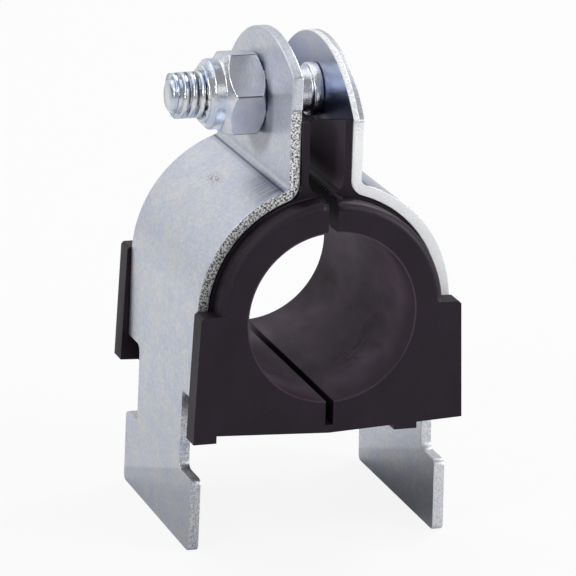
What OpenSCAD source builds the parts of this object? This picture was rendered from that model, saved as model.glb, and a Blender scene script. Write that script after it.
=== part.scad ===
// Cushioned strut pipe clamp, in millimetres, +Z up.
// X runs across the clamp and along its bolt, Y along the pipe, and the origin is the bore's centre.
// The clamp stands on the foot ends of its two strap halves.

/* [Pipe and cushion] */

// Outside diameter of the pipe that the cushion grips
pipe_d = 24; // [18:0.5:25.5]
// Free play between pipe and bore, on the diameter
bore_play = 0.08; // [0:0.02:0.3]
// Length of the cushion along the pipe
cushion_len = 38.9; // [37:0.1:44]
// Width of the split through the ring's top
split_w = 1.4; // [0.8:0.1:2.2]
// Width of the slit below the bore
slit_w = 1.15; // [0.6:0.05:2]
// Rubber left under the slit, which is the hinge
hinge_t = 1.15; // [0.8:0.05:2]
// Depth of the block below the bore's centre, at its middle
block_depth = 16.65; // [15.5:0.05:19]
// Half width of the block at its lower corners
block_half = 19.55; // [19.3:0.05:21]
// Height of the block's shoulders over the bore's centre
block_top = 1.1; // [0.4:0.1:3]
// How far the ring's ends stay inside the strap's arc
ring_step = 0.5; // [0.2:0.05:1.2]
// Rounding of the ring's outer edge
ring_round = 1.1; // [0.4:0.05:1.4]
// Thickness of the rubber tabs that line the ears
tab_t = 1; // [0.6:0.1:1.6]
// Height of the tabs' outer ends over the bore's centre
tab_top = 27; // [26:0.1:27.4]

/* [Strap halves] */

// Strap width along the pipe
strap_w = 31.75; // [30:0.05:32]
// Strap thickness
strap_t = 1.55; // [1.3:0.05:1.9]
// Outer radius of the arc over the pipe
arc_r = 18.35; // [17.8:0.05:18.6]
// Bend radius on the outside of an ear's root
bend_r = 0.9; // [0.5:0.1:1.8]
// Distance from the bore's centre to the left ear's inner face
left_ear = 4.1; // [3.6:0.1:5]
// Distance from the bore's centre to the right ear's inner face
right_ear = 3.3; // [3.1:0.1:4.5]
// Height of the left ear's top
left_top = 37.2; // [35:0.1:39]
// Height of the right ear's top
right_top = 35.2; // [34.5:0.1:39]
// How far the left ear's top sits to the back, so a minus value is to the front
left_shift = -3.9; // [-4.5:0.1:0]
// How far the right ear's top sits to the back
right_shift = 0.4; // [0:0.1:4]
// Radius of an ear's rounded head
head_r = 20.8; // [19:0.1:24]
// Width of an ear's head, a little over the strap's width
head_w = 32.5; // [32.2:0.1:33]
// Drop from an ear's top to its side corners
head_drop = 8.6; // [7:0.1:9]
// Width of the neck that passes the channel's mouth
neck_w = 20.6; // [18:0.1:21.6]
// Depth of the notches' upper edge below the bore's centre
notch_top = 11.9; // [11:0.1:14]
// Depth of the hooks' upper edge below the bore's centre
hook_top = 23.3; // [22:0.1:26]
// Depth of the feet's ends below the bore's centre
foot_low = 33.8; // [31:0.1:36]
// Outward lean of a leg over its full height
leg_lean = 0.5; // [0:0.05:0.6]
// Rounding in the notches' inner corners
notch_r = 1; // [0.4:0.1:2]
// Rounding of the hooks' corners
hook_r = 0.9; // [0.3:0.1:2]

/* [Bolt and nut] */

// Thread diameter over its crests
bolt_d = 6.35; // [5.5:0.05:6.6]
// Height of the bolt's axis over the bore's centre
bolt_z = 27.4; // [27.2:0.1:28]
// Thread length past the nut
bolt_past = 5; // [3:0.1:8]
// Diameter of the shoulder collar at the right ear
collar_d = 7.5; // [7:0.1:8]
// Thickness of the shoulder collar
collar_t = 1.5; // [1.2:0.1:2]
// Diameter of the staked head on the right ear
stake_d = 8.6; // [8:0.1:11]
// Thickness of the staked head
stake_t = 0.9; // [0.6:0.1:1.5]
// Play of the bolt in the left ear's hole, on the diameter
ear_play = 0.8; // [0.4:0.1:1.2]
// Nut width across its flats
nut_af = 11.1; // [10.4:0.1:11.8]
// Height of the nut's hexagon
hex_h = 5.6; // [4.5:0.1:6.5]
// Height of the nut's round top, which holds its insert
crown_h = 2.1; // [1.7:0.1:3]
// Turn of the nut about the bolt, in degrees
nut_turn = 22; // [0:1:60]

/* [Hidden] */

$fn = 96;

zinc = [0.74, 0.77, 0.8];
rubber = [0.16, 0.15, 0.17];
bright = [0.82, 0.83, 0.85];
nylon = [0.62, 0.63, 0.62];

// Overlap that joins pieces of one drawing, and cuts past a face
eps = 0.01;
past = 1;
// Room between the rubber and the strap halves, which part when the nut is loosened
rubber_gap = 0.15;
// Room between the strap's edges and the cushion's end flanges
edge_gap = 0.35;
// Play between the thread's crests and the nut, on the radius
thread_play = 0.05;
// Rise of the block's underside from its middle to its corners
block_rise = 0.9;
// Draft of the block's sides over their full height
block_draft = 0.72;
// Cut across the block's upper corners
block_corner = 0.35;
// Depth of the nubs below the block's middle
nub_drop = 0.3;
// Width and place of the nubs on a flange
nub_w = 3.3;
nub_in = 9.6;
// Fall of the tabs' upper edges from their ends to the bolt
tab_fall = 4;
// Clear space round the bolt's collar, where the tabs are cut away
collar_room = 0.9;
// Cone at the bolt's tip
tip_cone = 0.7;
// Slope on the staked head's rim
stake_slope = 0.8;
// Rounding of the nut's crown, and its step in from the nut's flats
crown_round = 0.7;
crown_in = 0.6;
// Wall of the nut's insert, and the lip that keeps it in
insert_wall = 0.9;
insert_cap = 0.35;
// Cuts that turn down the hexagon's corners at its outer and inner ends
outer_turn = 1.9;
inner_turn = 1.6;

strap_in = arc_r - strap_t;
half_w = strap_w / 2;
half_head = head_w / 2;
half_neck = neck_w / 2;
half_len = cushion_len / 2;
bore_r = (pipe_d + bore_play) / 2;
bolt_r = bolt_d / 2;
collar_r = collar_d / 2;
seat_half = half_w + edge_gap;
core_r = strap_in - rubber_gap;
ring_r = strap_in - ring_step;
left_out = left_ear + strap_t;
right_out = right_ear + strap_t;
ears_mid = (right_ear - left_ear) / 2;
throat_r = (left_ear + right_ear) / 2 - tab_t - rubber_gap;
throat_z = ring_r + throat_r;
split_x = ears_mid * 0.7;
nut_len = hex_h + crown_h;
nut_end = -left_out - nut_len;
hex_end = -left_out - hex_h;
bolt_end = nut_end - bolt_past;
hex_r = nut_af / sqrt(3);
crown_r = nut_af / 2 - crown_in;
insert_r = bolt_r + insert_wall;
nut_bore = bolt_r + thread_play;
tab_hole_r = collar_r + collar_room;
ear_hole_r = (bolt_d + ear_play) / 2;

// Centre of the bend between an arc and an ear whose inner face is at ear.
function bend_x(ear) = ear + strap_t + bend_r;
function bend_z(ear) = sqrt(pow(arc_r + bend_r, 2) - pow(bend_x(ear), 2));

// Turns a drawing of X and Z into a solid from y0 to y1.
module along_y(y0, y1) {
    translate([0, y1, 0])
        rotate([90, 0, 0])
            linear_extrude(height = y1 - y0) children();
}

// Turns a drawing of Y and Z into a solid from x0 to x1.
module along_x(x0, x1) {
    translate([x0, 0, 0])
        rotate([90, 0, 90])
            linear_extrude(height = x1 - x0) children();
}

// Rod or cone along X on the bolt's axis.
module rod(x0, x1, r0, r1) {
    translate([x0, 0, bolt_z])
        rotate([0, 90, 0])
            cylinder(h = x1 - x0, r1 = r0, r2 = r1);
}

// The folded strap on +X, cut from nothing yet, whose ear's inner face is at ear.
module folded_strap(ear) {
    y0 = -half_head - past;
    y1 = half_head + past;
    bx = bend_x(ear);
    bz = bend_z(ear);
    translate([ear, y0, bz])
        cube([strap_t, y1 - y0, max(left_top, right_top) + past - bz]);
    along_y(y0, y1)
        intersection() {
            translate([bx, bz])
                difference() {
                    circle(r = bend_r + strap_t);
                    circle(r = bend_r);
                }
            polygon([[bx, bz], [0, bz], [0, 0], [eps, 0]]);
        }
    along_y(y0, y1)
        intersection() {
            difference() {
                circle(r = arc_r);
                circle(r = strap_in);
            }
            polygon([[0, 0], [bx * 2, bz * 2], [arc_r * 2, bz * 2], [arc_r * 2, 0]]);
        }
    along_y(y0, y1)
        polygon([
            [strap_in, 0], [arc_r, 0],
            [arc_r + leg_lean, -foot_low], [strap_in + leg_lean, -foot_low]
        ]);
}

// A strap half's outline as seen along X, with its head's centre line at shift.
module strap_outline(top, shift) {
    head_low = top - head_drop;
    intersection() {
        translate([shift, top - head_r])
            circle(r = head_r);
        translate([-half_head, head_low])
            square([head_w, head_drop + past]);
    }
    intersection() {
        translate([-half_w, -notch_top])
            square([strap_w, notch_top + head_low + eps]);
        translate([shift, top - head_r])
            union() {
                circle(r = head_r);
                translate([-2 * head_r, -2 * head_r])
                    square([4 * head_r, 2 * head_r]);
            }
    }
    translate([-half_neck, -hook_top - eps])
        square([neck_w, hook_top - notch_top + 2 * eps]);
    for (s = [-1, 1])
        scale([s, 1]) {
            corner_fill(half_neck, -notch_top, -1);
            corner_fill(half_neck, -hook_top, 1);
        }
    foot_outline();
}

// The foot below the notches, with rounded hook corners.
module foot_outline() {
    foot_h = foot_low - hook_top;
    translate([-half_w + hook_r, -foot_low])
        square([strap_w - 2 * hook_r, foot_h]);
    translate([-half_w, -foot_low + hook_r])
        square([strap_w, foot_h - 2 * hook_r]);
    for (s = [-1, 1], z = [-foot_low + hook_r, -hook_top - hook_r])
        translate([s * (half_w - hook_r), z])
            circle(r = hook_r);
}

// Rounds off a notch's inner corner at y, z, on its open side up or down as side is 1 or -1.
module corner_fill(y, z, side) {
    difference() {
        translate([y - eps, side > 0 ? z - eps : z - notch_r])
            square([notch_r + eps, notch_r + eps]);
        translate([y + notch_r, z + side * notch_r])
            circle(r = notch_r);
    }
}

// One folded strap half on +X, without its bolt hole.
module strap_half(ear, top, shift) {
    intersection() {
        folded_strap(ear);
        along_x(0, arc_r + leg_lean + past) strap_outline(top, shift);
    }
}

module left_half() {
    color(zinc)
        difference() {
            mirror([1, 0, 0]) strap_half(left_ear, left_top, left_shift);
            rod(-left_out - past, -left_ear + past, ear_hole_r, ear_hole_r);
        }
}

module right_half() {
    color(zinc)
        difference() {
            strap_half(right_ear, right_top, right_shift);
            rod(right_ear - past, right_out + past, bolt_r, bolt_r);
        }
}

// The cushion's section inside the folded strap, with both tabs at full height.
module core_section() {
    legs_x = core_r + leg_lean * block_depth / foot_low;
    side_low = -block_depth + block_rise * legs_x / block_half;
    right_bx = bend_x(right_ear);
    left_bx = bend_x(left_ear);
    difference() {
        union() {
            intersection() {
                circle(r = core_r);
                translate([-arc_r, 0])
                    square([2 * arc_r, arc_r]);
            }
            polygon([
                [-core_r, eps], [core_r, eps], [legs_x, side_low],
                [0, -block_depth], [-legs_x, side_low]
            ]);
            translate([-left_ear + rubber_gap, bend_z(left_ear)])
                square([left_ear + right_ear - 2 * rubber_gap, tab_top - bend_z(left_ear)]);
            difference() {
                polygon([
                    [0, 0], [right_bx, bend_z(right_ear)],
                    [right_bx, bend_z(right_ear) + eps], [-left_bx, bend_z(left_ear) + eps],
                    [-left_bx, bend_z(left_ear)]
                ]);
                translate([right_bx, bend_z(right_ear)])
                    circle(r = bend_r + strap_t + rubber_gap);
                translate([-left_bx, bend_z(left_ear)])
                    circle(r = bend_r + strap_t + rubber_gap);
            }
        }
        translate([ears_mid, throat_z])
            circle(r = throat_r);
        translate([ears_mid - throat_r, throat_z])
            square([2 * throat_r, tab_top]);
    }
}

// The space over the tabs' upper edges, which fall towards the bolt, as seen along X.
module tab_cut_outline() {
    polygon([
        [-seat_half - past, tab_top + eps], [-seat_half, tab_top], [0, tab_top - tab_fall],
        [seat_half, tab_top], [seat_half + past, tab_top + eps]
    ]);
}

// One end flange of the block, as seen along Y, with its two moulded nubs.
module flange_section() {
    top_x = block_half - block_draft;
    corner_z = -block_depth + block_rise;
    nub_z = -block_depth - nub_drop;
    polygon([
        [0, -block_depth], [block_half, corner_z],
        [top_x, block_top - block_corner], [top_x - block_corner, block_top],
        [-top_x + block_corner, block_top], [-top_x, block_top - block_corner],
        [-block_half, corner_z]
    ]);
    for (x = [-block_half, nub_in])
        translate([x, nub_z])
            square([nub_w, block_rise + 2 * nub_drop]);
}

// The flange and the raised ring at the front end.
module front_end() {
    along_y(-half_len, -seat_half + eps) flange_section();
    rotate([90, 0, 0])
        rotate_extrude() {
            translate([bore_r - past, 0])
                square([ring_r - bore_r + past, half_len - ring_round]);
            translate([bore_r - past, 0])
                square([ring_r - ring_round - bore_r + past, half_len]);
            translate([ring_r - ring_round, half_len - ring_round])
                circle(r = ring_round);
        }
}

// A cut along the whole cushion, w wide about x, from z0 to z1.
module long_cut(x, w, z0, z1) {
    translate([x - w / 2, -half_len - past, z0])
        cube([w, cushion_len + 2 * past, z1 - z0]);
}

module cushion() {
    color(rubber)
        difference() {
            union() {
                along_y(-seat_half, seat_half) core_section();
                front_end();
                rotate([0, 0, 180]) front_end();
            }
            along_y(-half_len - past, half_len + past) circle(r = bore_r);
            along_x(-left_ear, right_ear) tab_cut_outline();
            rod(-left_ear, right_ear, tab_hole_r, tab_hole_r);
            long_cut(split_x, split_w, bore_r - past, throat_z);
            long_cut(0, slit_w, -block_depth + hinge_t, -bore_r + past);
        }
}

module shoulder_bolt() {
    stake_r = stake_d / 2;
    color(bright) {
        rod(bolt_end, bolt_end + tip_cone, bolt_r - tip_cone, bolt_r);
        rod(bolt_end + tip_cone, right_out, bolt_r, bolt_r);
        rod(right_ear - collar_t, right_ear, collar_r, collar_r);
        rod(right_out, right_out + stake_t, stake_r, stake_r - stake_slope);
    }
}

// The nut's hexagon, with its corners turned down at both ends.
module nut_hex() {
    wide = hex_r + past;
    flat_r = nut_af / 2;
    inner_step = 0.15;
    outer = hex_end + outer_turn;
    inner = -left_out - inner_turn;
    intersection() {
        translate([hex_end, 0, bolt_z])
            rotate([0, 90, 0])
                rotate([0, 0, nut_turn])
                    cylinder(h = hex_h, r = hex_r, $fn = 6);
        union() {
            rod(hex_end, outer, crown_r, wide);
            rod(outer, inner, wide, wide);
            rod(inner, -left_out, wide, flat_r - inner_step);
        }
    }
}

module lock_nut() {
    color(bright)
        difference() {
            union() {
                nut_hex();
                rod(nut_end, nut_end + crown_round, crown_r - crown_round, crown_r);
                rod(nut_end + crown_round, hex_end + eps, crown_r, crown_r);
            }
            rod(nut_end - past, -left_out + past, nut_bore, nut_bore);
            rod(nut_end + insert_cap, hex_end, insert_r, insert_r);
        }
}

module nut_insert() {
    color(nylon)
        difference() {
            rod(nut_end + insert_cap, hex_end, insert_r, insert_r);
            rod(nut_end, hex_end + past, nut_bore, nut_bore);
        }
}

left_half();
right_half();
cushion();
shoulder_bolt();
lock_nut();
nut_insert();
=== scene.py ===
"""Dresses the strut pipe clamp and sets it in a pale studio.

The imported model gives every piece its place. Each piece is built again from its solid with
the edges, thread and ribs that the real one has, and gets its own finish.
"""

from __future__ import annotations

import logging
import math
from dataclasses import dataclass, field
from enum import Enum
from typing import Callable

import bmesh
import bpy
from mathutils import Matrix, Vector

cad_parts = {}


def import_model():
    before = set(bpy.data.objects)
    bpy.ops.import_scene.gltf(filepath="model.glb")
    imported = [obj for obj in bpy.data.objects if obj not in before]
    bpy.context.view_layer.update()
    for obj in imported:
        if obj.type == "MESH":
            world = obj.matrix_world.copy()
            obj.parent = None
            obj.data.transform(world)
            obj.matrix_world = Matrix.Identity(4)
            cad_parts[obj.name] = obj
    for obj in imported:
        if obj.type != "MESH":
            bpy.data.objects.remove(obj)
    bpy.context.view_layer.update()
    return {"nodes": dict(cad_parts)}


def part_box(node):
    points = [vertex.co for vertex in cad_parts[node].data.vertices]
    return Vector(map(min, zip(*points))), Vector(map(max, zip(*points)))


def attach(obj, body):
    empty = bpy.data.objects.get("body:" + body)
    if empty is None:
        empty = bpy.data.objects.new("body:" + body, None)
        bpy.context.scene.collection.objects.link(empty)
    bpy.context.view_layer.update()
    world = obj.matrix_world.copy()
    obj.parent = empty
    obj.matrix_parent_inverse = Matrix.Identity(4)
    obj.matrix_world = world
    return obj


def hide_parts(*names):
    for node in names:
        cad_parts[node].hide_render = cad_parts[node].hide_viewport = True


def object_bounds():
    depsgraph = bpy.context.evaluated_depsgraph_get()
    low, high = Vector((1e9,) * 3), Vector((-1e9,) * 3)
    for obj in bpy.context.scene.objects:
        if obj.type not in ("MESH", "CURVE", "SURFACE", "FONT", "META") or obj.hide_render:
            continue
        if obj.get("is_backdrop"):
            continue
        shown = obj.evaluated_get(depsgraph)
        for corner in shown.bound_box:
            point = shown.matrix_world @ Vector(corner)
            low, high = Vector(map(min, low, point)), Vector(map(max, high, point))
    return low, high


LOG = logging.getLogger("strut_pipe_clamp")
MM = 0.001

Colour = tuple[float, float, float]
Point = tuple[float, float, float]
# Where a fade starts and where it ends, or a place and what is set there.
Span = tuple[float, float]
# The middle and the half sizes of an oval on the bore, each along Y and Z.
Oval = tuple[float, float, float, float]


class Body(Enum):
    """The rigid bodies that pieces ride on."""

    BASE = "clamp_base"
    LEFT = "left_strap"
    NUT = "nut"


class Slot(Enum):
    """The record's material slots."""

    SHEET = "zinc_steel"
    BRIGHT = "bright_zinc"
    RUBBER = "black_rubber"
    NYLON = "nylon"


class Value:
    """A number in a shader, so that sums on it can be written as plain Python."""

    def __init__(self, graph: "Graph", socket: bpy.types.NodeSocket) -> None:
        """Keeps the graph that the number belongs to.

        Args:
            graph: the material's graph.
            socket: the output that gives the number.
        """
        self.graph = graph
        self.socket = socket

    def _sum(self, operation: str, first: object, second: object) -> "Value":
        """Adds one Math node."""
        made = self.graph.add("ShaderNodeMath", {"operation": operation}, {0: first, 1: second})
        return Value(self.graph, made.outputs[0])

    def __add__(self, other: object) -> "Value":
        """Sum."""
        return self._sum("ADD", self, other)

    __radd__ = __add__

    def __sub__(self, other: object) -> "Value":
        """Difference."""
        return self._sum("SUBTRACT", self, other)

    def __rsub__(self, other: object) -> "Value":
        """Difference, with this number taken away."""
        return self._sum("SUBTRACT", other, self)

    def __mul__(self, other: object) -> "Value":
        """Product."""
        return self._sum("MULTIPLY", self, other)

    __rmul__ = __mul__

    def __truediv__(self, other: object) -> "Value":
        """Quotient."""
        return self._sum("DIVIDE", self, other)

    def __abs__(self) -> "Value":
        """Size without its sign."""
        return self._sum("ABSOLUTE", self, 0.0)

    def largest(self, other: object) -> "Value":
        """The larger of the two."""
        return self._sum("MAXIMUM", self, other)

    def rise(self, start: float, end: float) -> "Value":
        """Goes smoothly from 0 to 1 as this number goes from start to end.

        Args:
            start: where the rise begins. It may be over end, for a fall.
            end: where it ends.

        Returns:
            The eased number.
        """
        low, high = min(start, end), max(start, end)
        ease = self.graph.add(
            "ShaderNodeMapRange",
            {"interpolation_type": "SMOOTHSTEP"},
            {"Value": self, "From Min": low, "From Max": high},
        )
        made = Value(self.graph, ease.outputs["Result"])
        return made if start < end else 1.0 - made

    def near(self, centre: float, inner: float, outer: float) -> "Value":
        """Is 1 within inner of centre, and falls to 0 at outer from it."""
        return abs(self - centre).rise(outer, inner)


class Nodes:
    """Makes the nodes of one tree."""

    def __init__(self, tree: bpy.types.NodeTree) -> None:
        """Keeps the tree and empties it.

        Args:
            tree: the tree of a material, of the sky or of a shape.
        """
        self.tree = tree
        tree.nodes.clear()

    def add(
        self, kind: str, settings: dict[str, object] | None = None,
        sockets: dict[object, object] | None = None,
    ) -> bpy.types.Node:
        """Adds a node of any type.

        Args:
            kind: the node's type.
            settings: what is set before the sockets. The key "stops" holds a ramp's stops.
            sockets: values or links of its inputs, by name or number.

        Returns:
            The node.
        """
        node = self.tree.nodes.new(kind)
        for key, setting in (settings or {}).items():
            if key == "stops":
                self._stops(node, setting)
            else:
                setattr(node, key, setting)
        for key, given in (sockets or {}).items():
            link = given.socket if isinstance(given, Value) else given
            if isinstance(link, bpy.types.NodeSocket):
                self.tree.links.new(link, node.inputs[key])
            elif isinstance(given, tuple) and node.inputs[key].type == "RGBA":
                node.inputs[key].default_value = (*given, 1.0)
            else:
                node.inputs[key].default_value = given
        return node

    @staticmethod
    def _stops(node: bpy.types.Node, stops: list[Span]) -> None:
        """Sets a grey ramp's stops.

        Args:
            node: the ramp.
            stops: the place and the level of each.
        """
        elements = node.color_ramp.elements
        while len(elements) < len(stops):
            elements.new(0.5)
        for element, (place, level) in zip(elements, stops):
            element.position = place
            element.color = (level, level, level, 1.0)


class Graph(Nodes):
    """Builds one material's nodes."""

    def __init__(self, name: str) -> None:
        """Starts an empty material.

        Args:
            name: the material's name.
        """
        self.material = bpy.data.materials.new(name)
        self.material.use_nodes = True
        super().__init__(self.material.node_tree)
        self._object: bpy.types.NodeSocket | None = None

    def place(self) -> bpy.types.NodeSocket:
        """Gives the point on the piece.

        Returns:
            The point in object coordinates.
        """
        if self._object is None:
            self._object = self.add("ShaderNodeTexCoord").outputs["Object"]
        return self._object

    def axes(self) -> tuple[Value, Value, Value]:
        """Gives the point's three coordinates.

        Returns:
            The coordinates, in millimetres.
        """
        scaled = self.add(
            "ShaderNodeVectorMath", {"operation": "SCALE"}, {0: self.place(), "Scale": 1.0 / MM}
        )
        split = self.add("ShaderNodeSeparateXYZ", None, {0: scaled.outputs[0]})
        return tuple(Value(self, out) for out in split.outputs)

    def attribute(self, name: str) -> Value:
        """Reads a number that the mesh carries.

        Args:
            name: the attribute's name.

        Returns:
            The number.
        """
        node = self.add("ShaderNodeAttribute", {"attribute_name": name})
        return Value(self, node.outputs["Fac"])

    def noise(
        self, size: float, detail: float = 2.0, stretch: Point = (1.0, 1.0, 1.0),
        rough: float = 0.5,
    ) -> Value:
        """Soft noise between 0 and 1.

        Args:
            size: the pattern's coarsest feature, in millimetres.
            detail: how many finer layers it has.
            stretch: how much longer its features are along X, Y and Z.
            rough: the weight of the finer layers.

        Returns:
            The noise.
        """
        scale = tuple(1.0 / (size * MM * s) for s in stretch)
        turned = self.add("ShaderNodeMapping", None, {"Vector": self.place(), "Scale": scale})
        made = self.add(
            "ShaderNodeTexNoise", None,
            {"Vector": turned.outputs[0], "Scale": 1.0, "Detail": detail, "Roughness": rough},
        )
        return Value(self, made.outputs["Fac"])

    def levels(self, number: Value, stops: list[Span]) -> Value:
        """Sends a number through a ramp of grey levels."""
        ramp = self.add("ShaderNodeValToRGB", {"stops": stops}, {"Fac": number})
        return Value(self, ramp.outputs["Color"])

    def blend(self, share: Value, first: object, second: object) -> bpy.types.NodeSocket:
        """Mixes two colours.

        Args:
            share: how much of the second there is.
            first: a colour or its link.
            second: a colour or its link.

        Returns:
            The mixed colour.
        """
        mix = self.add(
            "ShaderNodeMix", {"data_type": "RGBA", "clamp_factor": True},
            {0: share, 6: first, 7: second},
        )
        return mix.outputs[2]

    def shade(self, colour: object, level: Value) -> bpy.types.NodeSocket:
        """Multiplies a colour by a number.

        Args:
            colour: a colour or its link.
            level: the number.

        Returns:
            The darker or lighter colour.
        """
        made = self.add("ShaderNodeVectorMath", {"operation": "SCALE"}, {0: colour, "Scale": level})
        return made.outputs[0]

    def bump(
        self, height: Value, depth: float, strength: float = 1.0,
        under: bpy.types.NodeSocket | None = None,
    ) -> bpy.types.NodeSocket:
        """Turns heights between 0 and 1 into a normal.

        Args:
            height: the heights.
            depth: what a height of 1 stands for, in millimetres.
            strength: the bump's strength.
            under: a normal to build on.

        Returns:
            The normal.
        """
        sockets = {"Height": height, "Distance": depth * MM, "Strength": strength}
        if under is not None:
            sockets["Normal"] = under
        return self.add("ShaderNodeBump", None, sockets).outputs[0]

    def finish(self, sockets: dict[object, object]) -> bpy.types.Material:
        """Adds the surface shader and closes the material.

        Args:
            sockets: values or links of the shader's inputs.

        Returns:
            The material.
        """
        shader = self.add("ShaderNodeBsdfPrincipled", None, sockets)
        self.add("ShaderNodeOutputMaterial", None, {"Surface": shader.outputs[0]})
        return self.material


@dataclass(frozen=True)
class SheetZinc:
    """Zinc plate on folded sheet, with rolling streaks, scuffs and sheared edges."""

    cool: Colour = (0.61, 0.655, 0.76)
    warm: Colour = (0.72, 0.725, 0.74)
    scuff: Colour = (0.36, 0.31, 0.29)
    # Dark colour of the scuffed hatch and of the painted shade in the bends.
    scuff_and_bend_shade: Colour = (0.10, 0.125, 0.20)
    # Near white of the painted glare and of the painted highlight on the burnished rims.
    burnish_and_glare: Colour = (0.93, 0.935, 0.945)
    # Colour of the painted dark-blue reflection of the bolt's shank on the right ear's inner face.
    shank_reflection: Colour = (0.13, 0.17, 0.33)
    shank_reflection_x: float = 3.3
    shank_reflection_low: Span = (24.0, 25.0)
    shank_reflection_high: Span = (35.0, 28.5)
    # Painted shade round the nut on the left ear's outer face: its shadow and dark reflection.
    nut_shade_y: float = -1.3
    nut_shade_z: float = 26.2
    nut_shade_x: Span = (-5.2, -5.4)
    nut_shade_square: Span = (64.0, 34.0)
    nut_shade_depth: float = 0.42
    coin_x: Span = (4.0, 4.15)
    coin_z: Span = (26.5, 26.7)
    glare_z: Span = (27.0, 24.0)
    crease_x: float = 6.38
    crease_z: float = 17.2
    crease_step: float = 0.76
    crease_climb: float = 0.26
    # Painted reflection of the shaded floor, darker on the feet's ends.
    floor_reflection_tone: float = 0.8
    floor_reflection_slope: float = 0.33
    floor_reflection_z: Span = (-27.1, -26.5)
    hatch_outer: Span = (-10.6, -5.6)
    hatch_inner: Span = (-5.9, -6.3)
    hatch_front: Span = (-2.5, -13.5)
    hatch_low: Span = (12.5, 15.0)
    hatch_high: Span = (18.6, 17.6)
    mark_x: float = -10.8
    mark_y: float = 1.4
    mark_low: Span = (8.0, 11.0)

    def material(self) -> bpy.types.Material:
        """Builds the finish.

        Returns:
            The material.
        """
        graph = Graph("zinc_plated_sheet")
        x, y, z = graph.axes()
        cloud = graph.noise(9.0, 4.0)
        tint = graph.noise(3.0, 6.0, (1.0, 1.6, 1.0), rough=0.65)
        streak = graph.noise(0.16, 2.0, (60.0, 1.0, 60.0))
        grain = graph.noise(0.55, 4.0, rough=0.75)
        face = graph.blend(graph.levels(tint, [(0.36, 0.0), (0.66, 1.0)]), self.cool, self.warm)
        face = graph.shade(face, 0.52 + 0.12 * cloud + 0.10 * streak + 0.80 * grain)
        # Darkens the plate round the nut as a painted shadow and reflection of the nut.
        face = graph.shade(face, 1.0 - self._nut_shade(x, y, z))
        # Darkens the feet's ends as a painted reflection of the shaded floor.
        face = graph.shade(face, self._floor_reflection(y, z))
        # Paints the shank's dark-blue reflection on the right ear's inner face.
        face = graph.blend(self._shank_reflection(x, z), face, self.shank_reflection)
        hatch = self._hatch(x, y, z)
        line = graph.noise(0.33, 1.0, (60.0, 1.0, 60.0))
        score = 0.08 + graph.levels(line, [(0.47, 0.0), (0.62, 0.75)])
        face = graph.blend(hatch * score, face, self.scuff_and_bend_shade)
        face = graph.blend(self._mark(graph, x, y, z), face, self.scuff)
        # Painted shade in the bend between each ear and the arc.
        face = graph.blend(self._bend_shade(x, z), face, self.scuff_and_bend_shade)
        coined = x.rise(*self.coin_x) * z.rise(*self.coin_z)
        sheared = graph.attribute("sheared") * (1.0 - 0.85 * coined)
        speck = graph.noise(0.3, 3.0, rough=0.7)
        # Painted glare: white, non-metallic plate on the right half's sheared faces and on the inner
        # rims.
        painted_glare = graph.attribute("painted_glare") * (1.0 - 0.92 * coined)
        torn = graph.levels(speck, [(0.40, 0.03), (0.47, 0.34), (0.54, 0.88)])
        face = graph.blend(sheared, face, torn.socket)
        # The painted glare is whiter below the head.
        pale = painted_glare * (0.66 + 0.28 * z.rise(*self.glare_z))
        face = graph.blend(pale, face, self.burnish_and_glare)
        # Painted highlight on the inner rim's rounding, partly its real burnish.
        face = graph.blend(graph.attribute("burnished_glint"), face, self.burnish_and_glare)
        rough = 0.26 + 0.08 * cloud + 0.08 * grain + 0.1 * hatch + sheared * 0.3
        skin = graph.bump(streak * 0.4 + grain * 0.6, 0.016)
        skin = graph.bump(speck * sheared, 0.12, 0.7, skin)
        return graph.finish(
            {"Base Color": face, "Metallic": 1.0 - painted_glare, "Roughness": rough, "Normal": skin}
        )

    def _nut_shade(self, x: Value, y: Value, z: Value) -> Value:
        """Painted shade round the nut on the left ear's outer face: the nut's shadow and dark
        reflection.
        """
        across, up = y - self.nut_shade_y, z - self.nut_shade_z
        close = (across * across + up * up).rise(*self.nut_shade_square)
        return self.nut_shade_depth * close * x.rise(*self.nut_shade_x)

    def _shank_reflection(self, x: Value, z: Value) -> Value:
        """Painted dark-blue reflection of the bolt's shank on the right ear's inner face."""
        depth = 0.3 + 0.6 * z.rise(*self.shank_reflection_high)
        return x.near(self.shank_reflection_x, 0.05, 0.3) * z.rise(*self.shank_reflection_low) * depth

    def _floor_reflection(self, y: Value, z: Value) -> Value:
        """Painted reflection of the shaded floor: the feet's ends are darker below a sloping line.
        """
        above = (z + self.floor_reflection_slope * y).rise(*self.floor_reflection_z)
        return self.floor_reflection_tone + (1.0 - self.floor_reflection_tone) * above

    def _hatch(self, x: Value, y: Value, z: Value) -> Value:
        """The scuffed stretch beside the left half's bend, near its front edge."""
        along = x.rise(*self.hatch_outer) * x.rise(*self.hatch_inner)
        up = z.rise(*self.hatch_low) * z.rise(*self.hatch_high)
        return along * y.rise(*self.hatch_front) * up

    def _mark(self, graph: Graph, x: Value, y: Value, z: Value) -> Value:
        """One small scratch on the left half's arc."""
        spot = x.near(self.mark_x, 0.2, 1.1) * y.near(self.mark_y, 0.6, 3.4)
        broken = graph.levels(graph.noise(0.42, 3.0), [(0.5, 0.0), (0.58, 0.9)])
        return spot * z.rise(*self.mark_low) * broken

    def _bend_shade(self, x: Value, z: Value) -> Value:
        """Painted shade: a dark line inside the bend between an ear and the arc, with a fainter
        broad band over the bend's fillet.

        Args:
            x: the place across, in millimetres.
            z: the height, in millimetres.

        Returns:
            The line's strength, from 0 to 1.
        """
        right = x.rise(-1.0, 1.0)
        out = abs(x) - self.crease_x + self.crease_step * right
        up = z - self.crease_z - self.crease_climb * right
        away = out * out + up * up
        return (away.rise(0.07, 0.01) * 0.9).largest(away.rise(0.9, 0.1) * 0.3)


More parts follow.
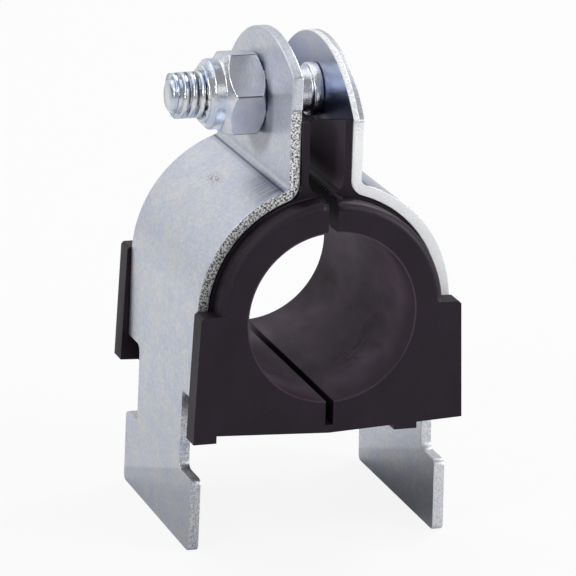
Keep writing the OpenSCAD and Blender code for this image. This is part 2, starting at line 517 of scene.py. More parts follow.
@dataclass(frozen=True)
class BrightZinc:
    """Bright zinc plate on turned and forged steel."""

    light: Colour = (0.84, 0.85, 0.87)
    blue: Colour = (0.60, 0.67, 0.80)
    drawn: Colour = (0.60, 0.595, 0.66)
    seam_shade: Colour = (0.10, 0.07, 0.09)

    def material(self) -> bpy.types.Material:
        """Builds the finish.

        Returns:
            The material.
        """
        graph = Graph("bright_zinc_plate")
        cloud = graph.noise(3.2, 3.0)
        speck = graph.noise(0.4, 3.0, rough=0.7)
        turned = graph.noise(0.12, 1.0, (1.0, 30.0, 30.0))
        base = graph.blend(graph.levels(cloud, [(0.4, 0.0), (0.62, 1.0)]), self.light, self.blue)
        base = graph.shade(base, 0.80 + 0.4 * speck)
        satin = graph.attribute("satin")
        base = graph.blend(satin * 0.6, base, self.drawn)
        # Painted shade: a dark line along the roundings between the hexagon's flats.
        base = graph.blend(graph.attribute("seam") * 0.85, base, self.seam_shade)
        rough = 0.07 + 0.12 * cloud + 0.10 * speck + 0.22 * satin
        skin = graph.bump(graph.noise(0.9, 4.0, rough=0.7), 0.09, 0.6)
        skin = graph.bump(speck * 0.7 + turned * 0.3, 0.03, 1.0, skin)
        return graph.finish(
            {"Base Color": base, "Metallic": 1.0, "Roughness": rough, "Normal": skin}
        )


@dataclass(frozen=True)
class MouldedRubber:
    """Black moulded rubber with a fine skin, its edge roundings paler: partly wear, partly a painted
    highlight.
    """

    dark: Colour = (0.0058, 0.0036, 0.0066)
    pale: Colour = (0.0100, 0.0068, 0.0110)
    edge: Colour = (0.026, 0.022, 0.027)
    dust_and_sheen: Colour = (0.086, 0.066, 0.084)
    bloom_and_sheen: Colour = (0.150, 0.105, 0.145)
    sheen: Colour = (1.0, 0.80, 1.0)
    bore_square: Span = (151.0, 148.0)
    roof_sheen_z: Span = (-4.0, 3.0)
    mouth_y: Span = (19.0, 11.0)
    front_stain: Oval = (-8.5, -6.2, 5.5, 3.2)
    back_stain: Oval = (15.0, -6.0, 7.0, 3.6)
    flow_lines: Oval = (-7.6, -9.4, 5.0, 1.9)

    def material(self) -> bpy.types.Material:
        """Builds the finish.

        Returns:
            The material.
        """
        graph = Graph("moulded_black_rubber")
        x, y, z = graph.axes()
        cloud = graph.noise(7.0, 4.0)
        skin_grain = graph.noise(0.35, 3.0, rough=0.6)
        flow = graph.noise(2.6, 3.0, (1.0, 2.4, 1.0))
        base = graph.blend(graph.levels(cloud, [(0.35, 0.0), (0.7, 1.0)]), self.dark, self.pale)
        # Paler roundings: partly wear, partly a painted highlight along the lips.
        base = graph.blend(graph.attribute("edge") * 0.35, base, self.edge)
        # Painted light: the tabs' inner faces are paler, as if lit between the tabs.
        base = graph.blend(graph.attribute("throat") * (0.5 + 0.6 * flow), base, self.dust_and_sheen)
        # The bore is painted paler inside: partly bloom and smudges, partly a painted sheen that is
        # lighter towards its top.
        inside = (x * x + z * z).rise(*self.bore_square) * (1.0 - graph.attribute("edge"))
        smear = graph.levels(graph.noise(4.0, 4.0, (1.0, 2.0, 1.0)), [(0.38, 0.0), (0.68, 1.0)])
        bloom_and_sheen_share = 0.5 + 0.4 * smear - self._stain(y, z, self.front_stain) * 0.4
        # Lighter towards the bore's top as a painted sheen.
        bloom_and_sheen_share = bloom_and_sheen_share - self._stain(y, z, self.back_stain) * 0.4 + z.rise(*self.roof_sheen_z) * 0.3
        contour = abs(graph.noise(5.0, 2.0, (1.0, 0.5, 1.0)) - 0.5).rise(0.03, 0.004)
        bloom_and_sheen_share = bloom_and_sheen_share - contour * self._stain(y, z, self.flow_lines) * 0.4
        bloom_and_sheen_share = bloom_and_sheen_share * (0.35 + 0.65 * abs(y).rise(*self.mouth_y))
        base = graph.blend(inside * bloom_and_sheen_share, base, self.bloom_and_sheen)
        # Fine dust specks, in the paler edge colour.
        dust_and_sheen = graph.levels(graph.noise(0.5, 1.0), [(0.73, 0.0), (0.78, 0.5)])
        base = graph.blend(dust_and_sheen, base, self.edge)
        rough = 0.38 + 0.14 * cloud + 0.08 * flow + 0.1 * inside
        skin = graph.bump(flow, 0.03, 0.6)
        skin = graph.bump(skin_grain, 0.02, 0.8, skin)
        return graph.finish(
            {
                "Base Color": base, "Metallic": 0.0, "Roughness": rough, "Normal": skin,
                "Specular IOR Level": 0.3, "Specular Tint": self.sheen,
            }
        )

    @staticmethod
    def _stain(y: Value, z: Value, oval: Oval) -> Value:
        """A soft oval on the bore.

        Args:
            y: the place along the bore, in millimetres.
            z: the height, in millimetres.
            oval: its middle and its half sizes, each along Y and Z.

        Returns:
            Its strength, which is 1 in the middle.
        """
        at_y, at_z, half_y, half_z = oval
        across, up = (y - at_y) / half_y, (z - at_z) / half_z
        return (across * across + up * up).rise(1.0, 0.1)


@dataclass(frozen=True)
class PaleNylon:
    """Pale nylon of the nut's insert."""

    base: Colour = (0.55, 0.56, 0.55)

    def material(self) -> bpy.types.Material:
        """Builds the finish.

        Returns:
            The material.
        """
        graph = Graph("pale_nylon")
        cloud = graph.noise(0.8, 2.0)
        base = graph.shade(self.base, 0.85 + 0.3 * cloud)
        skin = graph.bump(cloud, 0.02)
        return graph.finish({"Base Color": base, "Roughness": 0.5 + 0.1 * cloud, "Normal": skin})


@dataclass(frozen=True)
class PaleGround:
    """The floor and the backdrop, which the camera sees near white and with a soft shadow."""

    shade: float = 0.70
    shadow_share: float = 0.12

    def material(self) -> bpy.types.Material:
        """Builds the finish.

        Returns:
            The material.
        """
        graph = Graph("pale_ground")
        path = graph.add("ShaderNodeLightPath")
        seen = Value(graph, path.outputs["Is Camera Ray"])
        matt = graph.add("ShaderNodeBsdfDiffuse", None, {"Color": (self.shade,) * 3})
        glow = graph.add("ShaderNodeEmission", None, {"Color": (1.0, 1.0, 1.0), "Strength": 1.0})
        mix = graph.add(
            "ShaderNodeMixShader", None,
            {0: seen * (1.0 - self.shadow_share), 1: matt.outputs[0], 2: glow.outputs[0]},
        )
        graph.add("ShaderNodeOutputMaterial", None, {"Surface": mix.outputs[0]})
        return graph.material


def put(name: str, data: bpy.types.ID) -> bpy.types.Object:
    """Puts a new object into the scene.

    Args:
        name: the object's name.
        data: its mesh, light or camera.

    Returns:
        The object.
    """
    made = bpy.data.objects.new(name, data)
    bpy.context.scene.collection.objects.link(made)
    return made


class Workshop:
    """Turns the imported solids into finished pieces."""

    joined: float = 1e-7
    flat_angle: float = math.radians(0.4)
    sharp_angle: float = math.radians(25)

    def __init__(self, nodes: dict[str, bpy.types.Object]) -> None:
        """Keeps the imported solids.

        Args:
            nodes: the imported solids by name.
        """
        self.nodes = nodes

    def copy(self, node: str) -> bmesh.types.BMesh:
        """Copies a solid and joins its loose triangles into whole faces.

        Args:
            node: the solid's name.

        Returns:
            The closed mesh.
        """
        mesh = bmesh.new()
        mesh.from_mesh(self.nodes[node].data)
        bmesh.ops.remove_doubles(mesh, verts=mesh.verts, dist=self.joined)
        bmesh.ops.dissolve_limit(
            mesh, angle_limit=self.flat_angle, verts=mesh.verts, edges=mesh.edges,
            use_dissolve_boundaries=False, delimit={"NORMAL"},
        )
        return mesh

    def round_edges(
        self, mesh: bmesh.types.BMesh, name: str, width: float,
        weight: Callable[[bmesh.types.BMEdge], float], segments: int = 3, clamped: bool = False,
    ) -> bpy.types.Object:
        """Rounds the sharp edges of a mesh and gives it clean normals.

        Args:
            mesh: the mesh, which is used up.
            name: the piece's name.
            width: the rounding at a weight of 1, in millimetres.
            weight: the rounding's weight on an edge, from 0 to 1.
            segments: how many strips a rounding has.
            clamped: whether roundings stop where they would meet.

        Returns:
            The piece, with no modifier left.
        """
        layer = mesh.edges.layers.float.new("bevel_weight_edge")
        for edge in mesh.edges:
            sharp = len(edge.link_faces) == 2 and edge.calc_face_angle(0.0) > self.sharp_angle
            edge[layer] = weight(edge) if sharp else 0.0
        data = bpy.data.meshes.new(name)
        mesh.to_mesh(data)
        mesh.free()
        raw = put(name, data)
        bevel = raw.modifiers.new("rounding", "BEVEL")
        bevel.limit_method = "WEIGHT"
        bevel.width = width * MM
        bevel.segments = segments
        bevel.use_clamp_overlap = clamped
        normals = raw.modifiers.new("normals", "WEIGHTED_NORMAL")
        normals.keep_sharp = True
        for face in data.polygons:
            face.use_smooth = True
        return self.plain(raw)

    @staticmethod
    def plain(raw: bpy.types.Object) -> bpy.types.Object:
        """Turns an object with modifiers into one with a plain mesh.

        Args:
            raw: the object, whose mesh is changed.

        Returns:
            The same object.
        """
        bpy.context.view_layer.update()
        graph = bpy.context.evaluated_depsgraph_get()
        made = bpy.data.meshes.new_from_object(
            raw.evaluated_get(graph), preserve_all_data_layers=True, depsgraph=graph
        )
        raw.modifiers.clear()
        raw.data = made
        return raw

    @staticmethod
    def paint(piece: bpy.types.Object, name: str, level: Callable[[Vector, Vector], float]) -> None:
        """Gives each face a number that the finish reads.

        Args:
            piece: the piece.
            name: the number's name.
            level: the number at a face's centre and normal.
        """
        layer = piece.data.attributes.new(name, "FLOAT", "FACE")
        for face in piece.data.polygons:
            layer.data[face.index].value = level(face.center / MM, face.normal)

    @staticmethod
    def dress(
        piece: bpy.types.Object, finish: bpy.types.Material, slot: Slot, body: Body, *nodes: str
    ) -> None:
        """Gives a piece its finish and its body.

        Args:
            piece: the piece.
            finish: its material.
            slot: the record's slot that the finish stands for; it is not used.
            body: the body that it rides on.
            nodes: the solids that it stands for.
        """
        piece.data.materials.clear()
        piece.data.materials.append(finish)
        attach(piece, body.value)
        if nodes:
            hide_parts(*nodes)
        LOG.info("%s: %d faces on %s", piece.name, len(piece.data.polygons), body.value)


class Weave(Nodes):
    """Builds and runs one Geometry Nodes tree."""

    def __init__(self, name: str, finish: bpy.types.Material, sizes: dict[str, float]) -> None:
        """Starts a tree with named inputs.

        Args:
            name: the tree's name.
            finish: the material of what it makes.
            sizes: its other inputs by name.
        """
        super().__init__(bpy.data.node_groups.new(name, "GeometryNodeTree"))
        self.inputs = {**sizes, "Finish": finish}
        face = self.tree.interface
        for label in sizes:
            face.new_socket(label, in_out="INPUT", socket_type="NodeSocketFloat")
        face.new_socket("Finish", in_out="INPUT", socket_type="NodeSocketMaterial")
        face.new_socket("Geometry", in_out="OUTPUT", socket_type="NodeSocketGeometry")
        self.given = self.add("NodeGroupInput").outputs

    def sum(self, operation: str, first: object, second: object) -> bpy.types.NodeSocket:
        """Adds one Math node and returns its result."""
        made = self.add("ShaderNodeMath", {"operation": operation}, {0: first, 1: second})
        return made.outputs[0]

    def circle(self, sides: int, radius: object) -> bpy.types.NodeSocket:
        """Adds a round curve.

        Args:
            sides: how many points it has.
            radius: its radius or the radius's link.

        Returns:
            The curve.
        """
        made = self.add(
            "GeometryNodeCurvePrimitiveCircle", {"mode": "RADIUS"},
            {"Resolution": sides, "Radius": radius},
        )
        return made.outputs[0]

    def lay(self, shape: bpy.types.NodeSocket, start: str) -> bpy.types.NodeSocket:
        """Turns a shape from upright to lie along X and lifts it to the bolt's axis.

        Args:
            shape: the upright shape.
            start: the input that holds its place along X.

        Returns:
            The laid shape.
        """
        place = self.add(
            "ShaderNodeCombineXYZ", None, {"X": self.given[start], "Z": self.given["Axis Height"]}
        )
        laid = self.add(
            "GeometryNodeTransform", None,
            {
                "Geometry": shape, "Translation": place.outputs[0],
                "Rotation": (0.0, math.pi / 2, 0.0),
            },
        )
        return laid.outputs[0]

    def run(self, name: str, shape: bpy.types.NodeSocket) -> bpy.types.Object:
        """Ends the tree with real instances and the material, and runs it once.

        Args:
            name: the new piece's name.
            shape: what the tree has made.

        Returns:
            The piece, with a plain mesh.
        """
        real = self.add("GeometryNodeRealizeInstances", None, {0: shape})
        dressed = self.add(
            "GeometryNodeSetMaterial", None,
            {"Geometry": real.outputs[0], "Material": self.given["Finish"]},
        )
        self.add("NodeGroupOutput", None, {"Geometry": dressed.outputs[0]})
        raw = put(name, bpy.data.meshes.new(name))
        modifier = raw.modifiers.new("tree", "NODES")
        modifier.node_group = self.tree
        for item in self.tree.interface.items_tree:
            if item.in_out == "INPUT":
                modifier[item.identifier] = self.inputs[item.name]
        return Workshop.plain(raw)


@dataclass
class StrapHalf:
    """One folded strap half: ear, bend, arc, leg, notches and foot."""

    shop: Workshop
    finish: bpy.types.Material
    node: str
    body: Body
    side: int
    # How much of the painted white glare the half's sheared faces get; the right half's edges are
    # painted white as if lit.
    painted_glare: float
    head_low: float
    head_back: float
    head_round: float
    inner_round: float
    bend_top: float = 18.1
    leg_top: float = -11.0
    outer_round: float = 0.1
    widest: float = 0.5
    least_inward: float = 0.1
    rounding_lean: float = 0.2
    sheared_lean: float = 0.93
    leg_share: float = 0.35
    coined_share: float = 0.12

    def build(self) -> None:
        """Builds and dresses the half."""
        mesh = self.shop.copy(self.node)
        piece = self.shop.round_edges(mesh, self.node + "_sheet", self.widest, self._weight)
        self.shop.paint(piece, "sheared", self._sheared)
        self.shop.paint(piece, "burnished_glint", self._burnished_glint)
        self.shop.paint(piece, "painted_glare", self._painted_glare)
        self.shop.dress(piece, self.finish, Slot.SHEET, self.body, self.node)

    def _weight(self, edge: bmesh.types.BMEdge) -> float:
        """Gives an edge its share of the widest rounding.

        Args:
            edge: a sharp edge of the sheet.

        Returns:
            The share, which is larger on the inner rim and round the head.
        """
        face = max(edge.link_faces, key=lambda near: abs(near.normal.x))
        low = min(end.co.z for end in edge.verts) / MM
        back = edge.verts[0].co.y > 0.0
        if self._inward(face.normal) > self.least_inward:
            return self.inner_round / self.widest
        if low > (self.head_back if back else self.head_low) - 0.1:
            return self.head_round / self.widest
        return self.outer_round / self.widest

    def _inward(self, normal: Vector) -> float:
        """How far a face looks towards the pipe's side."""
        return -normal.x * self.side

    def _lean(self, centre: Vector, normal: Vector) -> float:
        """How far a face leans out of the sheet's own surface, from 0 to 1."""
        curved = 0.0 < centre.z < self.bend_top
        return abs(normal.y) if curved else math.hypot(normal.y, normal.z)

    def _sheared(self, centre: Vector, normal: Vector) -> float:
        """Says how rough the shear left a face.

        Args:
            centre: the face's middle, in millimetres.
            normal: its direction.

        Returns:
            The share, which is 1 on a rough face and less on the leg and a coined head.
        """
        if self._lean(centre, normal) < self.sheared_lean:
            return 0.0
        if centre.z < self.leg_top:
            return self.leg_share
        coined = self.side < 0 and centre.z > self.head_low - 0.3
        return self.coined_share if coined else 1.0

    def _painted_glare(self, centre: Vector, normal: Vector) -> float:
        """Is 1 where the edge is painted white as a glare of light: the right half's sheared faces
        and the inner rim's rounding.
        """
        return max(self.painted_glare * self._sheared(centre, normal), self._burnished_glint(centre, normal))

    def _burnished_glint(self, centre: Vector, normal: Vector) -> float:
        """Is 1 on the smooth rounding along the inner rim, painted near white: partly its burnish,
        partly a painted highlight.
        """
        rounding = self.rounding_lean < self._lean(centre, normal) < self.sheared_lean
        return 1.0 if rounding and self._inward(normal) > self.least_inward else 0.0


@dataclass
class Cushion:
    """The split rubber cushion with its ring, block, nubs and tabs."""

    shop: Workshop
    finish: bpy.types.Material
    node: str = "cushion"
    edge_round: float = 0.12
    bead_x: float = 0.86
    bead_z: float = 16.3
    bead_radius: float = 0.42
    bead_short: float = 0.9
    rib_depth: float = 0.07
    rib_pitch: float = 0.95
    rib_steps: float = 8.0
    throat_low: float = 17.2
    flat_share: float = 0.97

    def build(self) -> None:
        """Builds and dresses the cushion."""
        mesh = self.shop.copy(self.node)
        piece = self.shop.round_edges(
            mesh, "rubber_cushion", self.edge_round, lambda edge: 1.0, clamped=True
        )
        self.shop.paint(piece, "edge", self._edge)
        self.shop.paint(piece, "throat", self._throat)
        self.shop.dress(piece, self.finish, Slot.RUBBER, Body.BASE, self.node)
        self.shop.dress(self._bead("split_bead"), self.finish, Slot.RUBBER, Body.BASE)

    def _bead(self, name: str) -> bpy.types.Object:
        """Lays the ribbed bead beside the split by a node tree.

        Args:
            name: the piece's name.

        Returns:
            The bead as a plain mesh.
        """
        low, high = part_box(self.node)
        build = Weave(
            "ribbed_bead", self.finish,
            {
                "Front": low.y + self.bead_short * MM, "Back": high.y - self.bead_short * MM,
                "Across": self.bead_x * MM, "Height": self.bead_z * MM,
                "Radius": self.bead_radius * MM, "Rib Depth": self.rib_depth * MM,
                "Rib Pitch": self.rib_pitch * MM,
            },
        )
        given = build.given
        ends = [
            build.add(
                "ShaderNodeCombineXYZ", None,
                {"X": given["Across"], "Y": given[end], "Z": given["Height"]},
            ).outputs[0]
            for end in ("Front", "Back")
        ]
        line = build.add("GeometryNodeCurvePrimitiveLine", None, {"Start": ends[0], "End": ends[1]})
        fine = build.add(
            "GeometryNodeResampleCurve", {"mode": "LENGTH"},
            {
                "Curve": line.outputs[0],
                "Length": build.sum("DIVIDE", given["Rib Pitch"], self.rib_steps),
            },
        )
        along = build.add("GeometryNodeSplineParameter").outputs["Length"]
        wave = build.sum("DIVIDE", build.sum("MULTIPLY", along, math.tau), given["Rib Pitch"])
        rib = build.sum("MULTIPLY", build.sum("SINE", wave, 0.0), given["Rib Depth"])
        tube = build.add(
            "GeometryNodeCurveToMesh", None,
            {
                "Curve": fine.outputs[0], "Profile Curve": build.circle(16, 1.0),
                "Fill Caps": True, "Scale": build.sum("ADD", given["Radius"], rib),
            },
        )
        return build.run(name, tube.outputs[0])

    def _throat(self, centre: Vector, normal: Vector) -> float:
        """Is 1 on the tabs' inner faces, which are painted paler as light falling between the tabs.
        """
        return 1.0 if centre.z > self.throat_low and abs(normal.x) > 0.5 else 0.0

    def _edge(self, centre: Vector, normal: Vector) -> float:
        """Is 1 on the faces of the roundings."""
        flat = max(abs(normal.y), math.hypot(normal.x, normal.z)) > self.flat_share
        return 0.0 if flat else 1.0


@dataclass
class ShoulderBolt:
    """The turned bolt, with its thread as a ridge wound on its core."""

    shop: Workshop
    finish: bpy.types.Material
    node: str = "shoulder_bolt"
    pitch: float = 1.27
    crest: float = 3.175
    root: float = 2.42
    collar_face: float = 1.8
    collar_radius: float = 3.75
    collar_end: float = 3.3
    ear_outer: float = 4.85
    stake_radius: float = 4.3
    axis_z: float = 27.4
    turns_shown: float = 11.0
    thread_in: float = 0.25
    thread_spare: float = 0.8
    runout: float = 0.3
    edge: float = 0.15
    step: float = 0.1
    point: tuple[Span, ...] = ((0.0, 0.55), (0.12, 0.3), (0.55, 0.0))
    stake: tuple[Span, ...] = ((0.25, 0.6), (0.0, 0.95))
    ridge_foot: float = 0.86
    ridge_top: float = 0.2
    ridge_sink: float = 0.1
    ridge_rise: float = 1.6
    steps: int = 72

    def build(self) -> None:
        """Builds and dresses the bolt."""
        low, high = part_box(self.node)
        tip, end = low.x / MM, high.x / MM
        thread_end = tip + self.turns_shown * self.pitch + self.thread_spare
        core = [(tip, 0.0), *((tip + along, self.root - drop) for along, drop in self.point)]
        core += [
            (thread_end, self.root), (thread_end + self.runout, self.crest),
            (self.collar_face - self.edge, self.crest),
            (self.collar_face, self.crest + self.step),
            (self.collar_face, self.collar_radius - self.edge),
            (self.collar_face + self.edge, self.collar_radius),
            (self.collar_end - self.edge, self.collar_radius), (self.collar_end, self.crest),
            (self.ear_outer, self.crest), (self.ear_outer, self.stake_radius - self.step),
            (self.ear_outer + self.step, self.stake_radius),
        ]
        core += [(end - along, self.stake_radius - drop) for along, drop in self.stake]
        core.append((end, 0.0))
        piece = self._turn(core, "shoulder_bolt_turned")
        ridge = self._thread(tip + self.thread_in, "bolt_thread")
        self.shop.dress(piece, self.finish, Slot.BRIGHT, Body.BASE, self.node)
        self.shop.dress(ridge, self.finish, Slot.BRIGHT, Body.BASE)

    def _turn(self, section: list[Span], name: str) -> bpy.types.Object:
        """Turns a section round the bolt's axis.

        Args:
            section: places along X with their radii, in millimetres.
            name: the piece's name.

        Returns:
            The turned piece.
        """
        mesh = bmesh.new()
        points = [mesh.verts.new((x * MM, 0.0, (self.axis_z + r) * MM)) for x, r in section]
        edges = [mesh.edges.new(pair) for pair in zip(points, points[1:])]
        bmesh.ops.spin(
            mesh, geom=points + edges, cent=(0.0, 0.0, self.axis_z * MM), axis=(1.0, 0.0, 0.0),
            angle=math.tau, steps=self.steps, use_merge=True,
        )
        bmesh.ops.remove_doubles(mesh, verts=mesh.verts, dist=self.shop.joined)
        bmesh.ops.recalc_face_normals(mesh, faces=mesh.faces)
        data = bpy.data.meshes.new(name)
        mesh.to_mesh(data)
        mesh.free()
        for face in data.polygons:
            face.use_smooth = True
        data.set_sharp_from_angle(angle=math.radians(50))
        return put(name, data)

    def _thread(self, start: float, name: str) -> bpy.types.Object:
        """Winds the thread's ridge by a node tree.

        Args:
            start: where the ridge begins, in millimetres along X.
            name: the piece's name.

        Returns:
            The ridge as a plain mesh.
        """
        build = Weave(
            "wound_ridge", self.finish,
            {
                "Pitch": self.pitch * MM, "Turns": self.turns_shown,
                "Root Radius": self.root * MM, "Crest Radius": self.crest * MM,
                "Start": start * MM, "Axis Height": self.axis_z * MM,
            },
        )
        given = build.given
        height = build.sum("MULTIPLY", given["Pitch"], given["Turns"])
        middle = build.sum("ADD", given["Root Radius"], given["Crest Radius"])
        middle = build.sum("MULTIPLY", middle, 0.5)
        rise = build.sum("SUBTRACT", given["Crest Radius"], given["Root Radius"])
        helix = build.add(
            "GeometryNodeCurveSpiral", None,
            {
                "Resolution": 48, "Rotations": given["Turns"], "Start Radius": middle,
                "End Radius": middle, "Height": height,
            },
        )
        upright = build.add("GeometryNodeSetCurveNormal", {"mode": "Z_UP"}, {0: helix.outputs[0]})
        section = build.add(
            "GeometryNodeCurvePrimitiveQuadrilateral", {"mode": "TRAPEZOID"},
            {
                "Height": build.sum("ADD", rise, self.ridge_sink * MM),
                "Bottom Width": build.sum("MULTIPLY", given["Pitch"], self.ridge_foot),
                "Top Width": build.sum("MULTIPLY", given["Pitch"], self.ridge_top),
                "Offset": 0.0,
            },
        )
        turned = build.add(
            "GeometryNodeTransform", None,
            {"Geometry": section.outputs[0], "Rotation": (0.0, 0.0, -math.pi / 2)},
        )
        wound = build.add("GeometryNodeSplineParameter").outputs["Factor"]
        wound = build.sum("MULTIPLY", wound, given["Turns"])
        rising = build.sum("MINIMUM", build.sum("MULTIPLY", wound, self.ridge_rise), 1.0)
        ridge = build.add(
            "GeometryNodeCurveToMesh", None,
            {
                "Curve": upright.outputs[0], "Profile Curve": turned.outputs[0],
                "Fill Caps": True, "Scale": rising,
            },
        )
        return build.run(name, build.lay(ridge.outputs[0], "Start"))


@dataclass
class LockNut:
    """The hexagon nut with its round crown and its nylon insert."""

    shop: Workshop
    finish: bpy.types.Material
    nylon: bpy.types.Material
    node: str = "lock_nut"
    insert: str = "nut_insert"
    edge_round: float = 0.12
    axis_z: float = 27.4
    flat_reach: float = 5.2
    seam_reach: float = 5.75
    lip_radius: float = 3.62
    lip_thick: float = 0.42
    lip_in: float = 0.12
    lip_rough: float = 0.7
    lip_grain: float = 1400.0
    lip_seed: float = 3.0

    def build(self) -> None:
        """Builds and dresses the nut and its insert."""
        for node, finish, slot in (
            (self.node, self.finish, Slot.BRIGHT), (self.insert, self.nylon, Slot.NYLON)
        ):
            mesh = self.shop.copy(node)
            piece = self.shop.round_edges(
                mesh, node + "_turned", self.edge_round, lambda edge: 1.0, segments=2
            )
            self.shop.paint(piece, "satin", self._satin)
            self.shop.paint(piece, "seam", self._seam)
            self.shop.dress(piece, finish, slot, Body.NUT, node)
        self.shop.dress(self._lip("rolled_lip"), self.finish, Slot.BRIGHT, Body.NUT)

    def _reach(self, centre: Vector, normal: Vector) -> float:
        """Measures from the nut's axis to a face that looks away from it.

        Args:
            centre: the face's middle, in millimetres.
            normal: its direction.

        Returns:
            The distance in millimetres, or 0 for a face that looks along the axis.
        """
        if abs(normal.x) > 0.1:
            return 0.0
        return centre.y * normal.y + (centre.z - self.axis_z) * normal.z

    def _satin(self, centre: Vector, normal: Vector) -> float:
        """Is 1 on the hexagon's flats, which are duller than the turned faces."""
        return 1.0 if self._reach(centre, normal) > self.flat_reach else 0.0

    def _seam(self, centre: Vector, normal: Vector) -> float:
        """Is 1 on the roundings between the flats, where a dark line is painted as shade."""
        return 1.0 if self._reach(centre, normal) > self.seam_reach else 0.0

    def _lip(self, name: str) -> bpy.types.Object:
        """Rolls the crown's rough lip by a node tree.

        Args:
            name: the piece's name.

        Returns:
            The lip as a plain mesh.
        """
        build = Weave(
            "rolled_lip", self.finish,
            {
                "Lip Radius": self.lip_radius * MM, "Thickness": self.lip_thick * MM,
                "Face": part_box(self.node)[0].x + self.lip_in * MM,
                "Axis Height": self.axis_z * MM, "Roughness": self.lip_rough * MM,
                "Grain": self.lip_grain, "Seed": self.lip_seed,
            },
        )
        given = build.given
        path = build.circle(180, given["Lip Radius"])
        section = build.circle(16, given["Thickness"])
        ring = build.add("GeometryNodeCurveToMesh", None, {"Curve": path, "Profile Curve": section})
        noise = build.add(
            "ShaderNodeTexNoise", {"noise_dimensions": "4D"},
            {"W": given["Seed"], "Scale": given["Grain"], "Detail": 1.0},
        )
        swing = build.sum("SUBTRACT", noise.outputs[0], 0.5)
        swing = build.sum("MULTIPLY", swing, given["Roughness"])
        normal = build.add("GeometryNodeInputNormal").outputs[0]
        push = build.add("ShaderNodeVectorMath", {"operation": "SCALE"}, {0: normal, "Scale": swing})
        rough = build.add(
            "GeometryNodeSetPosition", None,
            {"Geometry": ring.outputs[0], "Offset": push.outputs[0]},
        )
        return build.run(name, build.lay(rough.outputs[0], "Face"))


@dataclass(frozen=True)
class Lamp:
    """One soft lamp that looks at the clamp."""

    name: str
    place: Point
    size: float
    power: float
    colour: Colour = (1.0, 1.0, 1.0)

    def hang(self, target: Vector) -> None:
        """Hangs the lamp and turns it to the target.

        Args:
            target: the point that it looks at.
        """
        data = bpy.data.lights.new(self.name, "AREA")
        data.shape = "SQUARE"
        data.size = self.size
        data.energy = self.power
        data.color = self.colour
        lamp = put(self.name, data)
        lamp.location = Vector(self.place)
        lamp.rotation_mode = "QUATERNION"
        lamp.rotation_quaternion = (target - lamp.location).to_track_quat("-Z", "Y")


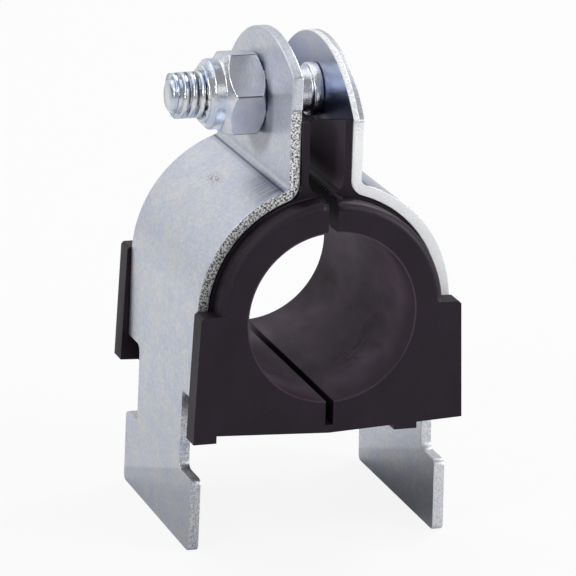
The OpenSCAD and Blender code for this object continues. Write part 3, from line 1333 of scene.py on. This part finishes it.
@dataclass
class Studio:
    """The camera, the floor and the light."""

    azimuth: float = 18.89
    elevation: float = 16.609
    roll: float = 1.743
    pan: float = 0.007
    tilt: float = 0.137
    distance: float = 0.59933
    lens: float = 265.43
    sensor: float = 36.0
    floor_z: float = -33.8 * MM
    floor_half: float = 2.0
    ambient: Colour = (0.30, 0.305, 0.32)
    lamps: list[Lamp] = field(
        default_factory=lambda: [
            Lamp("back_panel", (-0.25, 1.1, 0.5), 1.6, 3.6),
            Lamp("front_panel", (0.3, -0.9, 0.45), 0.5, 0.45),
            Lamp("ring_light", (-0.55, -0.38, 0.62), 0.2, 1.0),
            Lamp("sky_panel", (-0.35, 0.25, 0.9), 1.1, 3.0),
            Lamp("key", (0.55, 0.35, 0.6), 0.3, 3.0),
            Lamp("right_panel", (0.7, -0.5, 0.3), 0.45, 4.6),
            Lamp("left_strip", (-0.8, -0.55, 0.35), 0.18, 1.0),
        ]
    )

    def camera(self) -> None:
        """Sets the camera where the photographer stood."""
        turn, rise = math.radians(self.azimuth), math.radians(self.elevation)
        eye = self.distance * Vector(
            (-math.sin(turn) * math.cos(rise), -math.cos(turn) * math.cos(rise), math.sin(rise))
        )
        turn, rise = turn + math.radians(self.pan), rise + math.radians(self.tilt)
        look = Vector(
            (math.sin(turn) * math.cos(rise), math.cos(turn) * math.cos(rise), -math.sin(rise))
        )
        right = Vector((math.cos(turn), -math.sin(turn), 0.0))
        up = right.cross(look)
        roll = math.radians(self.roll)
        side = math.cos(roll) * right + math.sin(roll) * up
        top = -math.sin(roll) * right + math.cos(roll) * up
        data = bpy.data.cameras.new("camera")
        data.lens = self.lens
        data.sensor_width = self.sensor
        data.clip_start = 0.01
        camera = put("camera", data)
        turned = Matrix((side, top, -look)).transposed().to_4x4()
        camera.matrix_world = Matrix.Translation(eye) @ turned
        bpy.context.scene.camera = camera

    def floor(self) -> None:
        """Lays the pale floor under the feet."""
        data = bpy.data.meshes.new("floor")
        half = self.floor_half
        corners = [(-half, -half), (half, -half), (half, half), (-half, half)]
        data.from_pydata([(x, y, self.floor_z) for x, y in corners], [], [(0, 1, 2, 3)])
        ground = put("floor", data)
        data.materials.append(PaleGround().material())
        ground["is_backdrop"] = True

    def light(self) -> None:
        """Hangs the lamps and sets the sky, which the camera sees white."""
        for lamp in self.lamps:
            lamp.hang(Vector((0.0, 0.0, 0.0)))
        world = bpy.data.worlds.new("studio")
        world.use_nodes = True
        sky = Nodes(world.node_tree)
        seen = sky.add("ShaderNodeLightPath").outputs["Is Camera Ray"]
        mix = sky.add(
            "ShaderNodeMix", {"data_type": "RGBA"}, {0: seen, 6: self.ambient, 7: (1.0, 1.0, 1.0)}
        )
        lit = sky.add("ShaderNodeBackground", None, {"Color": mix.outputs[2]})
        sky.add("ShaderNodeOutputWorld", None, {"Surface": lit.outputs[0]})
        bpy.context.scene.world = world
        bpy.context.scene.view_settings.view_transform = "Standard"

    def build(self) -> None:
        """Builds the whole studio."""
        self.camera()
        self.floor()
        self.light()


def corners() -> list[list[float]]:
    """The shown object's lowest and highest corners."""
    return [list(corner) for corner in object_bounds()]


def main() -> None:
    """Loads the frame and builds every piece."""
    logging.basicConfig(level=logging.INFO, format="%(name)s: %(message)s")
    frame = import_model()
    shop = Workshop(frame["nodes"])
    sheet = SheetZinc().material()
    bright = BrightZinc().material()
    Studio().build()
    StrapHalf(
        shop, sheet, "left_half", Body.LEFT, side=-1, painted_glare=0.0, head_low=28.6, head_back=22.8,
        head_round=0.26, inner_round=0.18,
    ).build()
    StrapHalf(
        shop, sheet, "right_half", Body.BASE, side=1, painted_glare=1.0, head_low=26.6, head_back=26.6,
        head_round=0.13, inner_round=0.13,
    ).build()
    Cushion(shop, MouldedRubber().material()).build()
    ShoulderBolt(shop, bright).build()
    LockNut(shop, bright, PaleNylon().material()).build()


if __name__ == "__main__":
    main()
